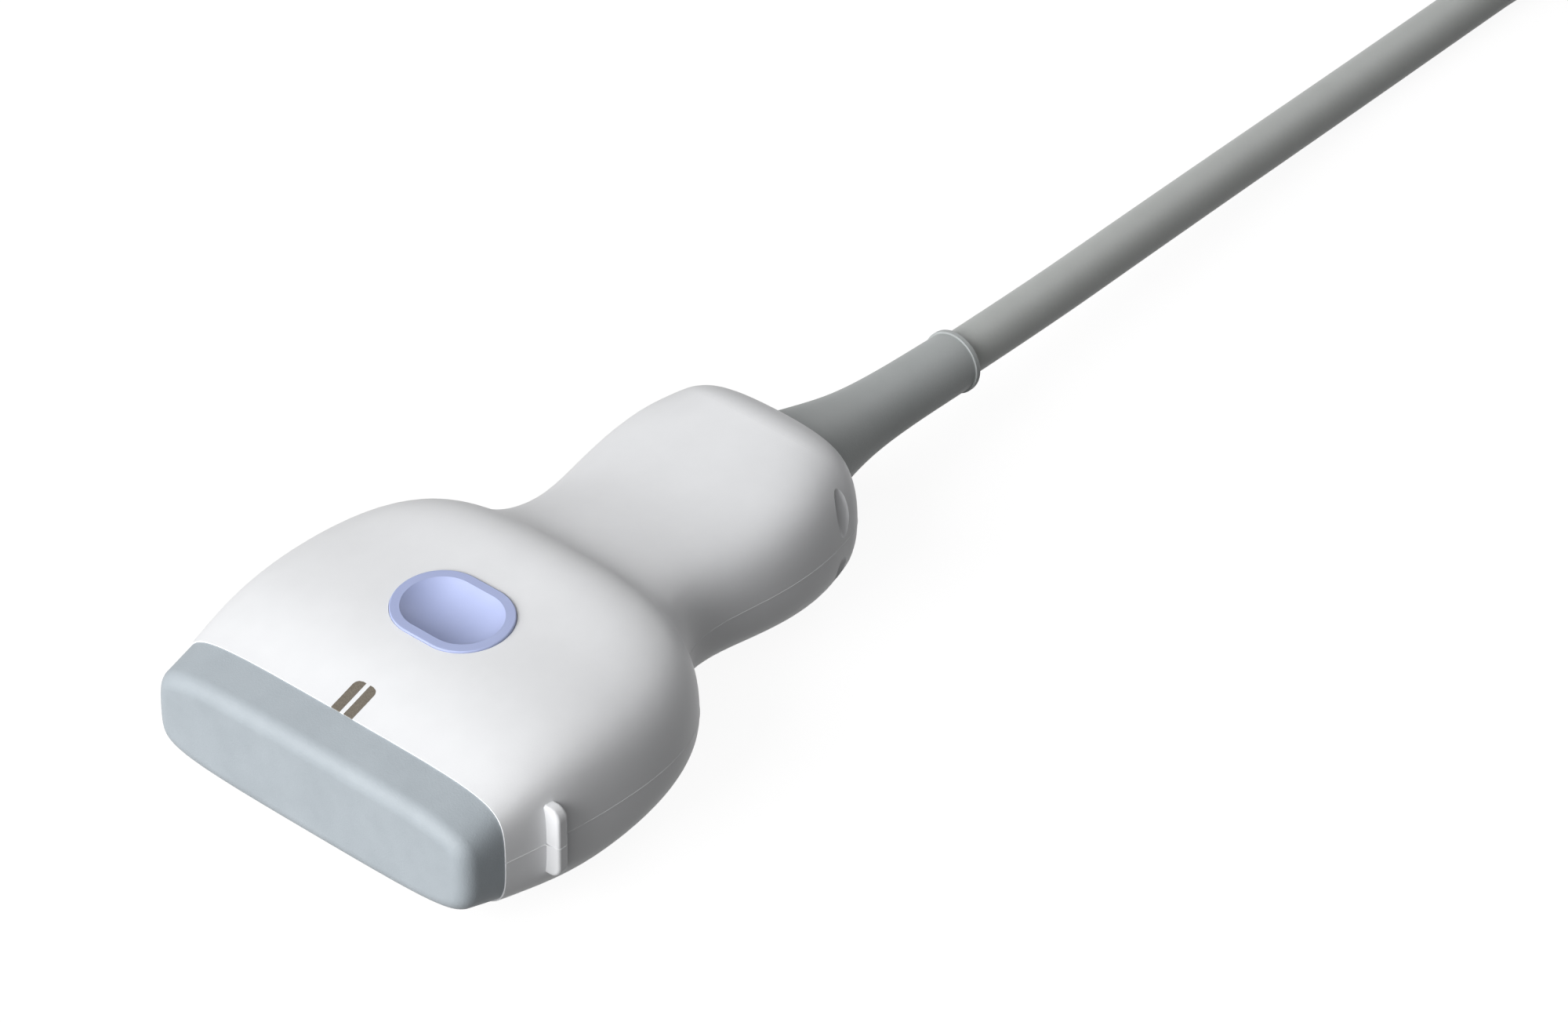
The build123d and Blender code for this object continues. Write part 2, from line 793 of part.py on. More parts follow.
# Both shells in one, with ridge, dimples, inlay pocket and boot passage
dimple_reach = form_at(dimple_place)[0] - dimple_inset - dimple_depth + dimple_radius
with BuildPart() as housing:
    add(housing_form(0))
    add(ridge.part)
    for side in (1, -1):
        for level in (1, -1):
            dimple_z = parting_z + level * dimple_spread - dimple_drop
            dimple_centre = (joint_x + dimple_place, side * dimple_reach, dimple_z)
            with Locations(Location(dimple_centre, (side * level * dimple_tilt, 0, 0))):
                add(dimple.part, mode=Mode.SUBTRACT)
    add(hollow.part, mode=Mode.SUBTRACT)
    with BuildSketch(inlay_plane.offset(inlay_proud - inlay_thickness)):
        SlotOverall(inlay_span + 2 * lap_clearance, inlay_width + 2 * lap_clearance, rotation=90)
    extrude(amount=crown_height, mode=Mode.SUBTRACT)
    with BuildSketch(inlay_plane):
        with GridLocations(0, peg_spacing, 1, 2):
            Circle(peg_radius + lap_clearance)
    extrude(amount=-crown_height / 2, mode=Mode.SUBTRACT)
    with BuildSketch(cable_cross_plane(wall + overrun)):
        Circle(boot_neck_radius + fit_gap)
    extrude(amount=wall + 2 * overrun, mode=Mode.SUBTRACT)
    with BuildSketch(cable_cross_plane(wall)):
        Circle(boot_flange_radius + fit_gap)
    extrude(amount=-boot_flange_thickness - 2 * fit_gap, mode=Mode.SUBTRACT)
    with BuildSketch(cable_cross_plane(boot_seat_depth)):
        Circle(boot_base_radius + fit_gap)
    extrude(amount=boot_seat_depth + overrun, mode=Mode.SUBTRACT)

# The lap joint: a tongue on the inner half of the lower shell's wall stands in
# a groove of the upper shell.
lap_length = body_length - mouth_depth - wall / 2 - rear_edge_radius


def lap_ring(inset, height):
    # The inner part of the wall, between two heights over the parting plane
    with BuildPart() as ring:
        with BuildSketch(level_plane(0)):
            with Locations((mouth_depth + wall + lap_length / 2, 0)):
                Rectangle(lap_length - wall, 2 * head_width)
        extrude(amount=height)
        add(housing_form(inset), mode=Mode.INTERSECT)
        add(housing_form(wall), mode=Mode.SUBTRACT)
    return ring.part


with BuildPart() as lower_shell:
    add(housing.part)
    split(bisect_by=level_plane(0), keep=Keep.BOTTOM)
    add(lap_ring(wall / 2, tongue_height))
    with BuildSketch(level_plane(-ear_thickness / 2)):
        with Locations((ear_place, ear_reach), (ear_place, -ear_reach)):
            Circle(post_screw_radius)
    extrude(amount=-screw_bite / 2, mode=Mode.SUBTRACT)
lower_shell.part.label = "lower_shell"
export_step(lower_shell.part, "parts/lower_shell.step")

with BuildPart() as upper_shell:
    add(housing.part)
    split(bisect_by=level_plane(seam_gap), keep=Keep.TOP)
    add(lap_ring(wall / 2 - lap_clearance, tongue_height), mode=Mode.SUBTRACT)
upper_shell.part.label = "upper_shell"
export_step(upper_shell.part, "parts/upper_shell.step")


def cable_run(points):
    # Straight runs joined by arcs as large as the shorter run allows
    corners = [Vector(*point) for point in points]
    radii = []
    for before, corner, after in zip(corners, corners[1:], corners[2:]):
        turn = (corner - before).get_angle(after - corner)
        shorter = min((corner - before).length, (after - corner).length)
        radii.append(route_bend_share * shorter / tan(radians(turn / 2)))
    print("bend radii", [round(radius, 1) for radius in radii])
    with BuildPart() as run:
        with BuildLine() as route:
            FilletPolyline(*corners, radius=radii)
        with BuildSketch(Plane(origin=corners[0], z_dir=corners[1] - corners[0])):
            Circle(cable_radius)
        sweep(path=route.wire())
    section = Face(Wire.make_circle(cable_radius)).area
    print("volume over section times length", run.part.volume / (section * route.wire().length))
    return run.part


cable_tube = cable_run(cable_route)
cable_tube.label = "cable_tube"
export_step(cable_tube, "parts/cable_tube.step")

cable_tail = cable_run(tail_route)
cable_tail.label = "cable_tail"
export_step(cable_tail, "parts/cable_tail.step")

# The wound part of the cable, as the outer shape of its turns
coil_height = 2 * cable_radius * coil_layers
coil_outer = coil_mean_radius + cable_radius * coil_columns
coil_inner = coil_mean_radius - cable_radius * coil_columns
with BuildPart() as cable_coil:
    with BuildSketch(Plane.XY.offset(tie_thickness)):
        with Locations(coil_centre):
            Circle(coil_outer)
            Circle(coil_inner, mode=Mode.SUBTRACT)
    extrude(amount=coil_height)
    fillet(cable_coil.edges().filter_by(GeomType.CIRCLE), radius=coil_edge_radius)
cable_coil.part.label = "cable_coil"
export_step(cable_coil.part, "parts/cable_coil.step")

# Straps round the coil. Each is a closed band, and the coil rests on them.
strap_inner = (coil_inner**2 - (tie_width / 2) ** 2) ** 0.5 - tie_gap
strap_outer = coil_outer + tie_gap
with BuildPart() as cable_ties:
    for index in range(tie_count):
        angle = tie_first_angle + tie_sweep_angle * index / tie_count
        radial = Vector(cos(radians(angle)), sin(radians(angle)), 0)
        centre = Vector(*coil_centre, tie_thickness + coil_height / 2)
        with BuildSketch(
            Plane(
                origin=centre + radial * (strap_inner + strap_outer) / 2,
                x_dir=radial,
                z_dir=radial.cross(Vector(0, 0, 1)),
            )
        ):
            RectangleRounded(
                strap_outer - strap_inner + 2 * tie_thickness,
                coil_height + 2 * tie_thickness,
                coil_edge_radius + tie_thickness,
            )
            RectangleRounded(
                strap_outer - strap_inner, coil_height, coil_edge_radius, mode=Mode.SUBTRACT
            )
        extrude(amount=tie_width / 2, both=True)
cable_ties.part.label = "cable_ties"
export_step(cable_ties.part, "parts/cable_ties.step")

# The connector stands behind the coil. Its cable enters beside the lock.
connector_start = tail_route[-1][0] - connector_wall
connector_middle = connector_height / 2


def connector_plane(distance, y=connector_y, z=connector_middle):
    return Plane(origin=(connector_start + distance, y, z), x_dir=(0, 1, 0), z_dir=(1, 0, 0))


entry_y = tail_route[-1][1]
entry_z = tail_route[-1][2]
boss_places = [
    (connector_start + along, connector_y + side * spread / 2)
    for along, spread in (
        (rear_boss_inset, rear_boss_spread),
        (connector_length - front_boss_inset, front_boss_spread),
    )
    for side in (1, -1)
]
nose_start = connector_length - nose_back
board_top = connector_middle - connector_board_drop
board_place = nose_start - connector_board_length / 2

with BuildPart() as connector_housing:
    with BuildSketch(connector_plane(0)):
        RectangleRounded(connector_width, connector_height, connector_corner_radius)
    extrude(amount=connector_length)
    fillet(connector_housing.edges().group_by(Axis.X)[0], radius=connector_edge_radius)
    fillet(connector_housing.edges().group_by(Axis.X)[-1], radius=connector_edge_radius)
    # Finger grips across both flat faces
    for side in (1, -1):
        with BuildSketch(Plane.XY.offset(connector_middle + side * connector_middle)):
            with Locations((connector_start + grip_place + grip_pitch * (grip_count - 1) / 2, connector_y)):
                with GridLocations(grip_pitch, 0, grip_count, 1):
                    SlotOverall(connector_width / 2, grip_width, rotation=90)
        extrude(amount=-side * grip_depth, mode=Mode.SUBTRACT)
    with BuildPart(mode=Mode.PRIVATE) as connector_hollow:
        with BuildSketch(connector_plane(connector_wall)):
            RectangleRounded(
                connector_width - 2 * connector_wall,
                connector_height - 2 * connector_wall,
                connector_corner_radius - connector_wall,
            )
        extrude(amount=connector_length - 2 * connector_wall)
        with BuildSketch(Plane.XY):
            with Locations(*boss_places):
                Circle(boss_radius)
        extrude(amount=connector_height, mode=Mode.SUBTRACT)
        with BuildSketch(Plane.XY):
            with Locations((connector_start + board_place, connector_y)):
                with GridLocations(0, board_rail_spread, 1, 2):
                    Rectangle(connector_board_length / 2, board_rail_width)
        extrude(amount=board_top - board_thickness, mode=Mode.SUBTRACT)
    add(connector_hollow.part, mode=Mode.SUBTRACT)
    with BuildSketch(connector_plane(-overrun)):
        Circle(bush_radius)
    extrude(amount=connector_wall + 2 * overrun, mode=Mode.SUBTRACT)
    with BuildSketch(connector_plane(-overrun, entry_y, entry_z)):
        Circle(connector_boot_radius)
    extrude(amount=connector_wall + 2 * overrun, mode=Mode.SUBTRACT)
    with BuildSketch(connector_plane(nose_start)):
        RectangleRounded(nose_width, nose_height, nose_corner_radius)
    extrude(amount=nose_length + nose_back, mode=Mode.SUBTRACT)

with BuildPart() as connector_upper_shell:
    add(connector_housing.part)
    split(bisect_by=Plane.XY.offset(connector_middle), keep=Keep.TOP)
    with BuildSketch(Plane.XY.offset(connector_middle)):
        with Locations(*boss_places):
            Circle(connector_screw_radius)
    extrude(amount=screw_bite, mode=Mode.SUBTRACT)
connector_upper_shell.part.label = "connector_upper_shell"
export_step(connector_upper_shell.part, "parts/connector_upper_shell.step")

with BuildPart() as connector_lower_shell:
    add(connector_housing.part)
    split(bisect_by=Plane.XY.offset(connector_middle), keep=Keep.BOTTOM)
    with BuildSketch(Plane.XY):
        with Locations(*boss_places):
            Circle(connector_screw_radius)
    extrude(amount=connector_height, mode=Mode.SUBTRACT)
    with BuildSketch(Plane.XY):
        with Locations(*boss_places):
            Circle(connector_head_radius)
    extrude(amount=connector_head_depth, mode=Mode.SUBTRACT)
connector_lower_shell.part.label = "connector_lower_shell"
export_step(connector_lower_shell.part, "parts/connector_lower_shell.step")

with BuildPart() as connector_screws:
    with BuildSketch(Plane.XY.offset(connector_head_depth / 2)):
        with Locations(*boss_places):
            Circle(connector_head_radius)
    extrude(amount=connector_head_depth / 2)
    with BuildSketch(Plane.XY.offset(connector_head_depth)):
        with Locations(*boss_places):
            Circle(connector_screw_radius)
    extrude(amount=connector_middle - connector_head_depth + screw_bite)
connector_screws.part.label = "connector_screws"
export_step(connector_screws.part, "parts/connector_screws.step")

# The nose plugs into the console and carries the contact pads.
with BuildPart() as contact_block:
    with BuildSketch(connector_plane(nose_start)):
        RectangleRounded(nose_width, nose_height, nose_corner_radius)
    extrude(amount=nose_back + nose_length)
    with BuildSketch(connector_plane(nose_start)):
        Rectangle(nose_width + 2 * nose_flange, nose_height + 2 * nose_flange)
    extrude(amount=nose_back - connector_wall)
    with BuildSketch(connector_plane(nose_start)):
        Circle(bush_radius)
    extrude(amount=nose_back + nose_length, mode=Mode.SUBTRACT)
    fillet(
        contact_block.faces().sort_by(Axis.X)[-1].outer_wire().edges(), radius=nose_flange / 2
    )
contact_block.part.label = "contact_block"
export_step(contact_block.part, "parts/contact_block.step")

with BuildPart() as contact_pads:
    pad_half = pad_columns // 2
    pad_side = bush_radius + pad_breadth + pad_pitch * (pad_half - 1) / 2
    with BuildSketch(connector_plane(connector_length + nose_length)):
        with Locations((pad_side, 0), (-pad_side, 0)):
            with GridLocations(pad_pitch, pad_row_pitch, pad_half, pad_rows):
                Rectangle(pad_breadth, pad_length)
    extrude(amount=pad_thickness)
contact_pads.part.label = "contact_pads"
export_step(contact_pads.part, "parts/contact_pads.step")

# Board behind the nose, under the lock shaft
with BuildPart() as connector_board:
    with BuildSketch(Plane.XY.offset(board_top)):
        with Locations((connector_start + board_place, connector_y)):
            Rectangle(connector_board_length, connector_board_width)
    extrude(amount=-board_thickness)
connector_board.part.label = "connector_board"
export_step(connector_board.part, "parts/connector_board.step")

# The cable's end in the connector: the core is soldered to the board's edge.
solder_place = board_place - connector_board_length / 2 + core_radius
with BuildPart() as connector_core:
    with BuildSketch(connector_plane(connector_wall, entry_y, entry_z)) as tail_end:
        Circle(core_radius)
    with BuildSketch(
        connector_plane(solder_place, entry_y + solder_shift, board_top + core_radius)
    ) as solder_end:
        Circle(core_radius)
    loft(sections=[tail_end.sketch.face(), solder_end.sketch.face()])
connector_core.part.label = "connector_core"
export_step(connector_core.part, "parts/connector_core.step")

# Grooved strain relief on the connector
entry_axis = Axis((connector_start, entry_y, entry_z), (-1, 0, 0))
groove_pitch = connector_boot_length / (connector_boot_groove_count + 2)
with BuildPart() as connector_boot:
    with BuildSketch(
        Plane(origin=(connector_start, entry_y, entry_z), x_dir=(-1, 0, 0), z_dir=(0, 1, 0))
    ):
        with BuildLine():
            Polyline(
                (-connector_wall, cable_radius),
                (-connector_wall, connector_boot_radius),
                (0, connector_boot_radius),
                (0, connector_boot_flange),
                (groove_pitch, connector_boot_flange - connector_boot_groove),
                (connector_boot_length, connector_boot_end_radius),
                (connector_boot_length, cable_radius),
                close=True,
            )
        make_face()
    revolve(axis=entry_axis)
    for index in range(connector_boot_groove_count):
        with BuildSketch(
            Plane(
                origin=(connector_start - (index + 1.5) * groove_pitch, entry_y, entry_z),
                x_dir=(0, 1, 0),
                z_dir=(-1, 0, 0),
            )
        ):
            Circle(connector_boot_flange)
            Circle(connector_boot_end_radius - connector_boot_groove / 2, mode=Mode.SUBTRACT)
        extrude(amount=groove_pitch / 2, mode=Mode.SUBTRACT)
connector_boot.part.label = "connector_boot"
export_step(connector_boot.part, "parts/connector_boot.step")

# Brass bushes carry the lock shaft at the rear wall and in the nose.
for label, inner_face, toward in (
    ("rear_lock_bush", connector_wall, 1),
    ("front_lock_bush", nose_start, -1),
):
    with BuildPart() as lock_bush:
        with BuildSketch(connector_plane(inner_face)):
            Circle(bush_flange_radius)
        extrude(amount=toward * bush_flange_thickness)
        with BuildSketch(connector_plane(inner_face)):
            Circle(bush_radius)
        extrude(amount=-toward * (connector_wall if toward > 0 else bush_length))
        with BuildSketch(connector_plane(inner_face - bush_length - overrun)):
            Circle(shaft_radius + running_gap)
        extrude(amount=2 * (bush_length + overrun), mode=Mode.SUBTRACT)
    lock_bush.part.label = label
    export_step(lock_bush.part, f"parts/{label}.step")

# Lock shaft with a cross key and a pilot pin in front, and the handle pinned on
# its rear end
shaft_front = connector_length + nose_length + shaft_tip
with BuildPart() as lock_shaft:
    with BuildSketch(connector_plane(-handle_gap - handle_depth + handle_edge_radius)):
        Circle(shaft_radius)
    extrude(amount=handle_gap + handle_depth - handle_edge_radius + shaft_front)
    with BuildSketch(connector_plane(shaft_front)):
        RectangleRounded(key_width, key_length, key_width / 3)
    extrude(amount=key_thickness)
    with BuildSketch(connector_plane(shaft_front + key_thickness)):
        Circle(pilot_radius)
    extrude(amount=pilot_length + pilot_chamfer)
    chamfer(lock_shaft.faces().sort_by(Axis.X)[-1].edges(), length=pilot_chamfer)
    with BuildSketch(Plane.XY.offset(connector_middle)):
        with Locations((connector_start - handle_gap - handle_depth / 2, connector_y)):
            Circle(handle_pin_radius)
    extrude(amount=connector_height, both=True, mode=Mode.SUBTRACT)
lock_shaft.part.label = "lock_shaft"
export_step(lock_shaft.part, "parts/lock_shaft.step")

with BuildPart() as lock_handle:
    with BuildSketch(connector_plane(-handle_gap)):
        RectangleRounded(handle_width, handle_length, handle_width / 3)
        Circle(handle_hub_radius)
    extrude(amount=-handle_depth)
    fillet(
        lock_handle.faces().sort_by(Axis.X)[0].outer_wire().edges(), radius=handle_edge_radius
    )
    with BuildSketch(connector_plane(-handle_gap)):
        Circle(shaft_radius)
    extrude(amount=-handle_depth + handle_edge_radius, mode=Mode.SUBTRACT)
    with BuildSketch(Plane.XY.offset(connector_middle)):
        with Locations((connector_start - handle_gap - handle_depth / 2, connector_y)):
            Circle(handle_pin_radius)
    extrude(amount=handle_length / 3, both=True, mode=Mode.SUBTRACT)
lock_handle.part.label = "lock_handle"
export_step(lock_handle.part, "parts/lock_handle.step")

with BuildPart() as handle_pin:
    with BuildSketch(Plane.XY.offset(connector_middle)):
        with Locations((connector_start - handle_gap - handle_depth / 2, connector_y)):
            Circle(handle_pin_radius)
    extrude(amount=handle_length / 3, both=True)
handle_pin.part.label = "handle_pin"
export_step(handle_pin.part, "parts/handle_pin.step")

# Spring clip on the shaft, just inside the rear bush
clip_place = connector_wall + bush_flange_thickness + running_gap * 3
with BuildPart() as shaft_clip:
    with BuildSketch(connector_plane(clip_place)):
        Circle(clip_radius)
        Circle(shaft_radius, mode=Mode.SUBTRACT)
        with Locations((0, -clip_radius)):
            Rectangle(shaft_radius, 2 * clip_radius, mode=Mode.SUBTRACT)
    extrude(amount=clip_thickness)
shaft_clip.part.label = "shaft_clip"
export_step(shaft_clip.part, "parts/shaft_clip.step")
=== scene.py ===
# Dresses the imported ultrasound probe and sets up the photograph's view of it.
import json
import math

import bmesh
import bpy
from mathutils import Matrix, Vector


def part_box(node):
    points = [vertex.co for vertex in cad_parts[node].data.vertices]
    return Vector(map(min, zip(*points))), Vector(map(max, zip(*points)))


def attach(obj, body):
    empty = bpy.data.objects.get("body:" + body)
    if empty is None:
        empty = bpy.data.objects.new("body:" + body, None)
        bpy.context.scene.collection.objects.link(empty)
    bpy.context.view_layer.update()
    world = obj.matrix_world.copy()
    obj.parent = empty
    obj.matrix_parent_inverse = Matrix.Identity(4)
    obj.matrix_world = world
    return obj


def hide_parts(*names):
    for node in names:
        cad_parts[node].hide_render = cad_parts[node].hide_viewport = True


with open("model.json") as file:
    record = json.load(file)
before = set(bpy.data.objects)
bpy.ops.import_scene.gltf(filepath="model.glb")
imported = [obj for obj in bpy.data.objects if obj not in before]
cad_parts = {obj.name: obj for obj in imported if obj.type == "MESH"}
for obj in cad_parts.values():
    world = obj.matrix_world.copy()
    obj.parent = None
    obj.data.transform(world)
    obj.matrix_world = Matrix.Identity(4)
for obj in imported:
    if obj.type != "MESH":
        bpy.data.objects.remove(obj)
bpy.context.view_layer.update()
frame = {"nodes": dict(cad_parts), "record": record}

mm = 0.001  # sizes and places are in millimetres where no note says otherwise

# The camera stands at the lens side of the probe and looks down on its crown.
cameraSet = {
    "place": (-480.36, -445.98, 524.87),
    "aimAt": (11.61, -28.78, 38.42),
    "roll": 0.68,  # degrees
    "lens": 148.535,
    "sensor": 36.0,
    "nearest": 10.0,
    "farthest": 20000.0,
}


def makeCamera():
    data = bpy.data.cameras.new("camera")
    data.lens = cameraSet["lens"]
    data.sensor_width = cameraSet["sensor"]
    data.sensor_fit = "HORIZONTAL"
    data.clip_start = cameraSet["nearest"] * mm
    data.clip_end = cameraSet["farthest"] * mm
    camera = bpy.data.objects.new("camera", data)
    bpy.context.scene.collection.objects.link(camera)
    place = Vector(cameraSet["place"]) * mm
    aim = Vector(cameraSet["aimAt"]) * mm - place
    turn = aim.to_track_quat("-Z", "Y").to_matrix().to_4x4()
    roll = Matrix.Rotation(math.radians(cameraSet["roll"]), 4, "Z")
    camera.matrix_world = Matrix.Translation(place) @ turn @ roll
    bpy.context.scene.camera = camera


makeCamera()
print("camera set")

# The cable: out of the boot, along the floor, into the coil and on to the plug
cable = {
    "radius": 3.4,
    "route": [
        (31.2, 0.0, 12.745),
        (87.2, 0.0, 10.20),
        (133.2, 3.0, 7.1),
        (177.2, 6.0, 3.65),
        (204.2, 6.3, 3.45),
        (226.7, 6.4, 3.42),
        (244.15, -2.75, 3.9),
        (254.7, -19.2, 4.4),
    ],
    "tail": [
        (288.0, -27.9, 24.8),
        (304.5, -27.6, 24.6),
        (328.0, -22.5, 17.0),
        (352.0, -22.5, 17.0),
    ],
    "coilCentre": (280.7, 9.0),
    "coilMiddle": 33.5,  # radius between the two columns of turns
    "floorGap": 1.0,  # the ties under the coil
    "startAngle": -117.0,  # degrees, where the floor run has met the outer column
    "firstShift": 158.0,
    "shiftStep": 330.0,  # a little less than a turn, so that the shifts stand side by side
    "shiftSweep": 130.0,
    "endAngle": 256.0,
    "pointsPerTurn": 20,
    "curveSteps": 12,  # from one point of the route to the next
    "roundSteps": 12,  # more makes the jacket rounder
    "length": 1.85,  # m
}
# Columns and layers in the order that the cable fills them, out and in by turns
coilSlots = [(1, 0), (-1, 0), (-1, 1), (1, 1), (1, 2), (-1, 2), (-1, 3), (1, 3)]


def easeStep(share):
    share = min(max(share, 0.0), 1.0)
    return share * share * (3 - 2 * share)


def coilPoints():
    # From slot to slot the cable shifts by its own width, sideways or upwards.
    radius = cable["radius"]
    step = 360.0 / cable["pointsPerTurn"]
    lastAngle = cable["firstShift"] + cable["shiftStep"] * (len(coilSlots) - 2)
    lastAngle += (cable["endAngle"] - lastAngle) % 360.0
    steps = round((lastAngle - cable["startAngle"]) / step)
    reach = 2 / (1 + math.cos(math.radians(step)))  # control points stand outside the curve
    points = []
    for index in range(steps + 1):
        angle = cable["startAngle"] + (lastAngle - cable["startAngle"]) * index / steps
        column, layer = coilSlots[0]
        for number, (nextColumn, nextLayer) in enumerate(coilSlots[1:]):
            centre = cable["firstShift"] + cable["shiftStep"] * number
            share = easeStep((angle - centre) / cable["shiftSweep"] + 0.5)
            column += (nextColumn - coilSlots[number][0]) * share
            layer += (nextLayer - coilSlots[number][1]) * share
        distance = (cable["coilMiddle"] + column * radius) * reach
        points.append((
            cable["coilCentre"][0] + distance * math.cos(math.radians(angle)),
            cable["coilCentre"][1] + distance * math.sin(math.radians(angle)),
            cable["floorGap"] + radius * (1 + 2 * layer),
        ))
    return points


def makeCable():
    # The coil takes the place of the route's last point and the tail's first.
    points = cable["route"][:-1] + coilPoints() + cable["tail"][1:]
    curve = bpy.data.curves.new("cable", "CURVE")
    curve.dimensions = "3D"
    spline = curve.splines.new("NURBS")
    spline.points.add(len(points) - 1)
    for place, point in zip(points, spline.points):
        point.co = (*(Vector(place) * mm), 1.0)
        point.radius = cable["radius"] * mm  # the points carry the radius, so the box is true
    spline.order_u = 3
    spline.use_endpoint_u = True
    spline.resolution_u = cable["curveSteps"]
    curve.bevel_depth = 1.0
    curve.bevel_resolution = cable["roundSteps"]
    curve.use_fill_caps = True
    piece = bpy.data.objects.new("cable", curve)
    bpy.context.scene.collection.objects.link(piece)
    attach(piece, "probe")
    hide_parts("cable_tube", "cable_coil", "cable_tail")
    return piece


cablePiece = makeCable()
print("cable laid")


def toLinear(hexColour):
    # sRGB hex to the linear values that the shaders take
    channels = [int(hexColour[i:i + 2], 16) / 255 for i in (1, 3, 5)]
    linear = [c / 12.92 if c <= 0.04045 else ((c + 0.055) / 1.055) ** 2.4 for c in channels]
    return (*linear, 1.0)


def addNode(material, kind, settings=None, inputs=None):
    # Settings are the node's own options. An input is a value, or a socket to link from.
    node = material.node_tree.nodes.new(kind)
    for name, value in (settings or {}).items():
        setattr(node, name, value)
    for name, value in (inputs or {}).items():
        if isinstance(value, bpy.types.NodeSocket):
            material.node_tree.links.new(value, node.inputs[name])
        else:
            node.inputs[name].default_value = value
    return node


def startMaterial(name):
    material = bpy.data.materials.new(name)
    material.use_nodes = True
    material.node_tree.nodes.clear()
    return material


def endMaterial(material, shader):
    addNode(material, "ShaderNodeOutputMaterial", None, {"Surface": shader.outputs[0]})
    return material


def perMetre(size):
    # Texture scales count repeats in a metre.
    return 1 / (size * mm)


def twoTones(material, look, pattern):
    # The shade lies where the pattern is low and the colour where it is high.
    share = addNode(
        material, "ShaderNodeMapRange", None, {"Value": pattern, "From Min": 0.3, "From Max": 0.7}
    )
    tone = addNode(
        material, "ShaderNodeMix", {"data_type": "RGBA"},
        {0: share.outputs["Result"], 6: toLinear(look["shade"]), 7: toLinear(look["colour"])},
    )
    return tone.outputs[2]


# Injection-moulded plastics. The mould's spark-eroded skin leaves a grain that breaks
# up the shine. The real grain is under 0.1 mm, and the looks draw it as coarse as it
# needs to show. The melt is a little uneven in tone and shine over some millimetres.
mouldedLooks = {
    "white_housing": {  # a bright even white with a soft satin shine
        "name": "absMouldedWhite", "colour": "#ebecee", "shade": "#e7e8ea", "roughness": 0.42,
        "grain": 0.22, "depth": 0.014, "ior": 1.53,
    },
    "lavender_inlay": {  # waxy and milky, duller than the housing and soft to the eye
        "name": "polypropyleneMoulded", "colour": "#aeb8dd", "shade": "#aab4da",
        "roughness": 0.5, "grain": 0.22, "depth": 0.01, "ior": 1.5,
    },
    "connector_housing": {  # a coarser grain that hides scratches and kills the highlight
        "name": "absMouldedGrey", "colour": "#a9adaf", "shade": "#a3a7a9", "roughness": 0.5,
        "grain": 0.5, "depth": 0.02, "ior": 1.53,
    },
    "contact_insulator": {  # glass fibres in the skin: a dry near-black
        "name": "glassFilledNylonMoulded", "colour": "#1c1d20", "shade": "#17181a",
        "roughness": 0.55, "grain": 0.4, "depth": 0.01, "ior": 1.53,
    },
    "frame_plastic": {  # a plain working part, evenly grey
        "name": "polycarbonateMoulded", "colour": "#4a4d50", "shade": "#434649",
        "roughness": 0.5, "grain": 0.5, "depth": 0.01, "ior": 1.58,
    },
    "socket_plastic": {  # the polymer flows into thin walls and stays ivory and smooth
        "name": "liquidCrystalPolymerMoulded", "colour": "#dbd6c2", "shade": "#d2ccb6",
        "roughness": 0.45, "grain": 0.3, "depth": 0.005, "ior": 1.55,
    },
    "clamp_plastic": {  # slightly waxy black
        "name": "nylonMouldedBlack", "colour": "#2b2c2e", "shade": "#252628", "roughness": 0.5,
        "grain": 0.5, "depth": 0.01, "ior": 1.53,
    },
    "handle_plastic": {  # graphite with a low shine on its rounded edges
        "name": "nylonMouldedGraphite", "colour": "#43474a", "shade": "#3d4144",
        "roughness": 0.48, "grain": 0.5, "depth": 0.02, "ior": 1.53,
    },
    "chip_black": {  # pressed epoxy powder: flat and sooty
        "name": "epoxyTransferMoulded", "colour": "#222325", "shade": "#1c1d1f",
        "roughness": 0.6, "grain": 0.15, "depth": 0.003, "ior": 1.55,
    },
}
mouldedSkin = {
    "patch": 9.0,  # across the uneven patches
    "roughnessSwing": 0.04,
    "bump": 0.6,
    "specular": 0.35,
}


def mouldedPlastic(look):
    swing = mouldedSkin["roughnessSwing"]
    material = startMaterial(look["name"])
    place = addNode(material, "ShaderNodeTexCoord").outputs["Object"]
    patches = addNode(
        material, "ShaderNodeTexNoise", None,
        {"Vector": place, "Scale": perMetre(mouldedSkin["patch"]), "Detail": 3.0, "Roughness": 0.6},
    )
    grain = addNode(
        material, "ShaderNodeTexNoise", None,
        {"Vector": place, "Scale": perMetre(look["grain"]), "Detail": 2.0, "Roughness": 0.55},
    )
    bump = addNode(
        material, "ShaderNodeBump", None,
        {"Height": grain.outputs["Fac"], "Strength": mouldedSkin["bump"],
         "Distance": look["depth"] * mm},
    )
    roughness = addNode(
        material, "ShaderNodeMapRange", None,
        {"Value": patches.outputs["Fac"], "To Min": look["roughness"] - swing,
         "To Max": look["roughness"] + swing},
    )
    shader = addNode(
        material, "ShaderNodeBsdfPrincipled", None,
        {"Base Color": twoTones(material, look, patches.outputs["Fac"]),
         "Roughness": roughness.outputs["Result"], "Normal": bump.outputs["Normal"],
         "IOR": look["ior"], "Specular IOR Level": mouldedSkin["specular"]},
    )
    return endMaterial(material, shader)


